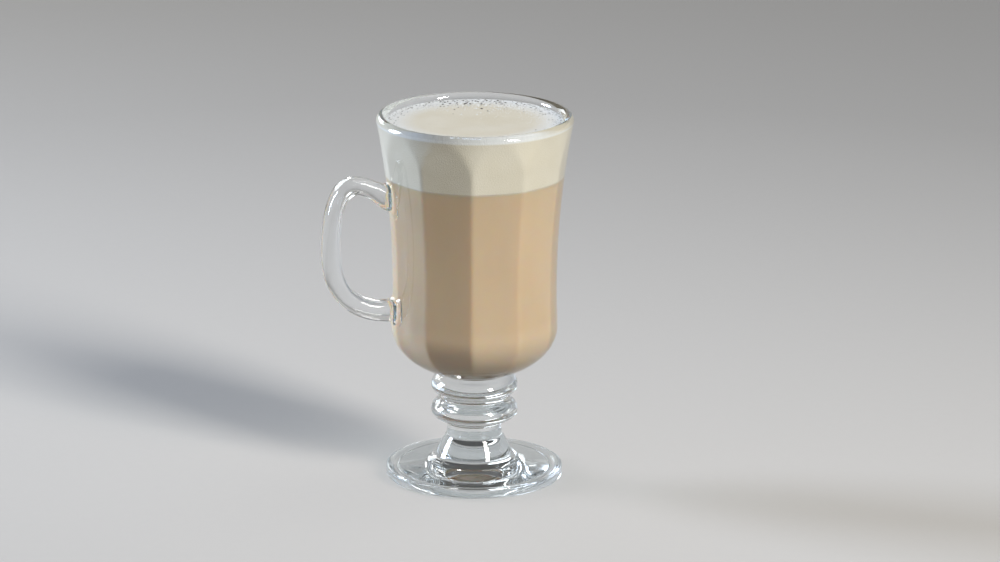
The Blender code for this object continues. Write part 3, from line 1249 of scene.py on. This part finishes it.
    def dress(self, piece: bpy.types.Object, finish: "FoamFinish | BubbleFilm",
              stands_for: "str | None") -> None:
        """Give a piece of the foam its finish and place it on the frame.

        Args:
            piece: The finished piece.
            finish: Its material.
            stands_for: The frame's node that it replaces, if any.
        """
        piece.data.materials.clear()
        piece.data.materials.append(finish.make())
        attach(piece, "root")
        if stands_for is not None:
            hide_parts(stands_for)


# The studio


class Softbox(Enum):
    """The studio's lamps: (turn from the camera in degrees, height angle, distance, size)."""

    KEY = (47.0, 28.0, 2.0, (0.45, 1.10))
    SIDE = (-108.0, 15.0, 1.9, (0.55, 1.00))
    RIM = (-154.0, 17.0, 2.0, (0.92, 0.45))
    TOP = (120.0, 64.0, 1.5, (0.50, 0.50))


@dataclass
class Studio:
    """Pale floor, soft lamps and the camera."""

    azimuth: float = -16.6
    elevation: float = 15.82
    distance: float = 2.183
    aim: tuple[float, float, float] = (0.0094, -0.0028, 0.0782)
    lens: float = 203.1
    lean: float = 0.22
    floor_r: float = 3.2
    cove_r: float = 0.6
    cove_steps: int = 14
    cove_h: float = 1.3
    lit_z: float = 0.08
    air: tuple[float, float, float] = (0.90, 0.90, 0.90)
    air_strength: float = 0.10
    light_turns: int = 44
    power: dict[Softbox, tuple[float, tuple[float, float, float]]] = field(default_factory=lambda: {
        Softbox.KEY: (8.4, (1.0, 0.975, 0.94)),
        Softbox.SIDE: (9.3, (0.74, 0.83, 1.0)),
        Softbox.RIM: (0.7, (0.90, 0.96, 1.0)),
        Softbox.TOP: (0.14, (0.97, 0.985, 1.0))})
    spread: float = 66.0

    def toward(self, azimuth: float, elevation: float) -> Vector:
        """Unit vector from the object towards a direction given as for the camera.

        Args:
            azimuth: Degrees from the front, counted to the right.
            elevation: Degrees above the floor.

        Returns:
            The direction.
        """
        a, e = math.radians(azimuth), math.radians(elevation)
        return Vector((math.sin(a) * math.cos(e), -math.cos(a) * math.cos(e), math.sin(e)))

    def build_floor(self) -> bpy.types.Object:
        """Round pale floor that turns up into a low wall far from the object."""
        deselect_all()
        bpy.ops.mesh.primitive_circle_add(vertices=128, radius=self.floor_r, fill_type="NGON")
        floor = bpy.context.object
        floor.name = "studio_floor"
        edit(floor)
        steps = self.cove_steps
        spot_r, spot_z = self.floor_r, 0.0
        for i in range(1, steps + 2):
            a = 0.5 * math.pi * min(i, steps) / steps
            r = self.floor_r + self.cove_r * math.sin(a)
            z = self.cove_r * (1.0 - math.cos(a)) + (self.cove_h - self.cove_r) * (i > steps)
            if i == 1:
                bpy.ops.mesh.select_mode(type="EDGE")
                bpy.ops.mesh.region_to_loop()
            bpy.ops.mesh.extrude_region_move(
                TRANSFORM_OT_translate={"value": (0.0, 0.0, z - spot_z)})
            bpy.ops.transform.resize(value=(r / spot_r, r / spot_r, 1.0),
                                     center_override=(0.0, 0.0, 0.0))
            spot_r, spot_z = r, z
        bpy.ops.object.mode_set(mode="OBJECT")
        shade(floor, 40.0)
        floor.data.materials.append(FloorFinish().make())
        return floor

    def build_lamps(self) -> None:
        """Four soft lamps and a dim, even surround."""
        for box, (watts, colour) in self.power.items():
            turn, height, far, size = box.value
            lamp = bpy.data.lights.new(box.name.lower(), "AREA")
            lamp.shape = "RECTANGLE"
            lamp.size, lamp.size_y = size
            lamp.spread = math.radians(self.spread)
            lamp.energy = watts
            lamp.color = colour
            obj = bpy.data.objects.new(box.name.lower(), lamp)
            way = self.toward(self.azimuth + turn, height)
            obj.location = Vector((0.0, 0.0, self.lit_z)) + way * far
            obj.rotation_euler = (-way).to_track_quat("-Z", "Y").to_euler()
            obj.visible_camera = False
            bpy.context.scene.collection.objects.link(obj)
        world = bpy.data.worlds.new("studio_air")
        world.use_nodes = True
        back = world.node_tree.nodes["Background"]
        back.inputs["Color"].default_value = (*self.air, 1.0)
        back.inputs["Strength"].default_value = self.air_strength
        bpy.context.scene.world = world

    def build_camera(self) -> None:
        """Camera at the photograph's angle, with its slight lean."""
        data = bpy.data.cameras.new("camera")
        data.lens = self.lens
        data.sensor_width = 36.0
        data.clip_end = 50.0
        camera = bpy.data.objects.new("camera", data)
        way = self.toward(self.azimuth, self.elevation)
        camera.location = Vector(self.aim) + way * self.distance
        level = (-way).to_track_quat("-Z", "Y")
        roll = Quaternion((0.0, 0.0, 1.0), math.radians(self.lean))
        camera.rotation_mode = "XYZ"
        camera.rotation_euler = (level @ roll).to_euler()
        bpy.context.scene.collection.objects.link(camera)
        bpy.context.scene.camera = camera
        bpy.context.scene.view_settings.view_transform = "Standard"
        paths = bpy.context.scene.cycles
        paths.max_bounces = self.light_turns
        paths.transmission_bounces = self.light_turns
        paths.glossy_bounces = self.light_turns


def report(piece: bpy.types.Object) -> None:
    """Log a finished piece and how many faces it has.

    Args:
        piece: The finished piece.
    """
    LOG.info("%s: %d faces", piece.name, len(piece.data.polygons))


def main() -> None:
    """Build and dress every piece, then the studio."""
    logging.basicConfig(level=logging.INFO, format="%(name)s %(message)s")
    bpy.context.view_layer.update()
    mug = GlassMug()
    glass = mug.build()
    mug.dress(glass)
    report(glass)
    coffee = MilkyCoffee()
    fill = coffee.build()
    coffee.dress(fill)
    report(fill)
    foam = MilkFoam()
    head = foam.build()
    foam.dress(head, FoamFinish(), "foam")
    report(head)
    taken: list[tuple[float, float, float]] = []
    for order, froth in enumerate((OPEN_FROTH_SHADE, FINE_FROTH)):
        places = foam.scatter(froth, foam.seed + order, taken)
        piece = foam.build_bubbles(froth, places)
        foam.dress(piece, froth.film, None)
        report(piece)
    studio = Studio()
    report(studio.build_floor())
    studio.build_lamps()
    studio.build_camera()


if __name__ == "__main__":
    main()
